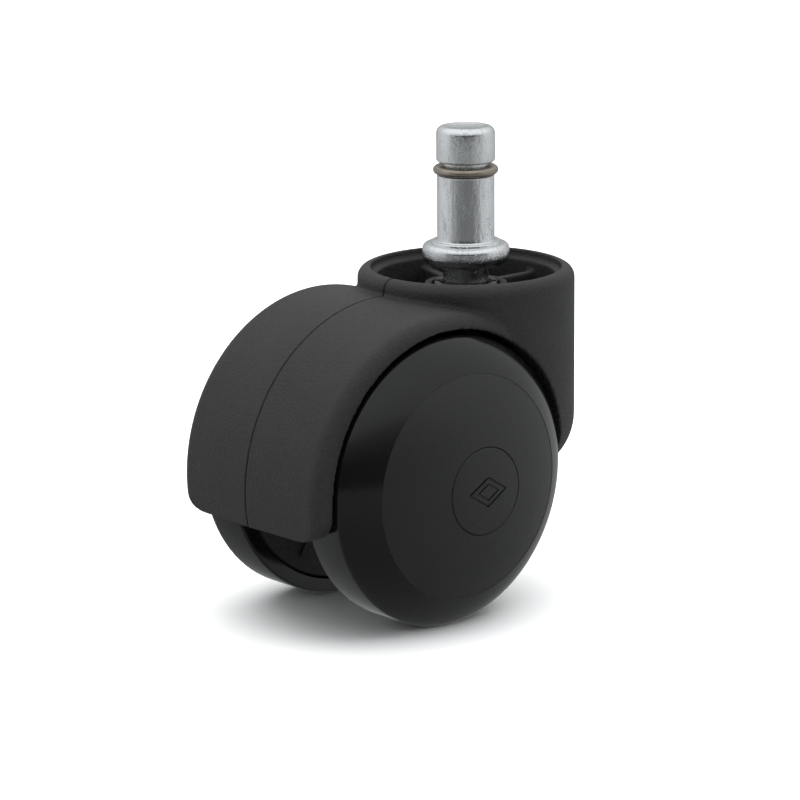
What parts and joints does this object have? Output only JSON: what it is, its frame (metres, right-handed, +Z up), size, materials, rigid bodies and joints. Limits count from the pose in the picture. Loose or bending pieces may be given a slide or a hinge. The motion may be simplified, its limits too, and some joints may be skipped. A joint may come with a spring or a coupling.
{
  "type": "chair caster wheel",
  "caption": "Hooded twin-wheel swivel caster for an office chair, with a steel grip-ring stem standing in a round cup and two domed hard wheels on one axle.",
  "frame": {"origin": "on the swivel axis, at the stem flange's upper seat, where the chair base's socket ends", "axes": "+Z up along the stem, -X towards the hood and axle, Y along the axle, left wheel at -Y"},
  "size_m": [0.0687, 0.0548, 0.0813],
  "materials": {
    "zinc_plate": "bright zinc plate, lightly mottled",
    "ring_wire": "brown tempered spring wire, satin",
    "bright_steel": "ground steel",
    "matte_nylon": "black nylon with a fine spark-eroded texture",
    "glossy_nylon": "black nylon, polished tread and shoulder, matte face",
    "satin_nylon": "black nylon, satin",
    "greased_collar": "dark olive nylon under a film of grease",
    "white_acetal": "natural acetal"
  },
  "bodies": {
    "stem_body": {"stem": "zinc_plate", "grip_ring": "ring_wire"},
    "swivel_body": {"housing": "matte_nylon", "stem_collar": "greased_collar", "thrust_ball": "bright_steel", "wear_plate": "bright_steel", "axle": "bright_steel", "axle_clip_left": "bright_steel", "axle_clip_right": "bright_steel", "spacer_washer_left": "white_acetal", "spacer_washer_right": "white_acetal"},
    "wheel_left": {"wheel_shell_left": "glossy_nylon", "wheel_hub_left": "matte_nylon", "hub_bush_left": "white_acetal", "hub_cap_left": "satin_nylon"},
    "wheel_right": {"wheel_shell_right": "glossy_nylon", "wheel_hub_right": "matte_nylon", "hub_bush_right": "white_acetal", "hub_cap_right": "satin_nylon"}
  },
  "joints": [
    {"name": "swivel", "type": "hinge", "parent": "stem_body", "child": "swivel_body", "pos_m": [0, 0, 0], "axis": [0, 0, 1], "continuous": true},
    {"name": "left_wheel_roll", "type": "hinge", "parent": "swivel_body", "child": "wheel_left", "pos_m": [-0.0197, 0, -0.0363], "axis": [0, 1, 0], "continuous": true},
    {"name": "right_wheel_roll", "type": "hinge", "parent": "swivel_body", "child": "wheel_right", "pos_m": [-0.0197, 0, -0.0363], "axis": [0, 1, 0], "continuous": true}
  ]
}
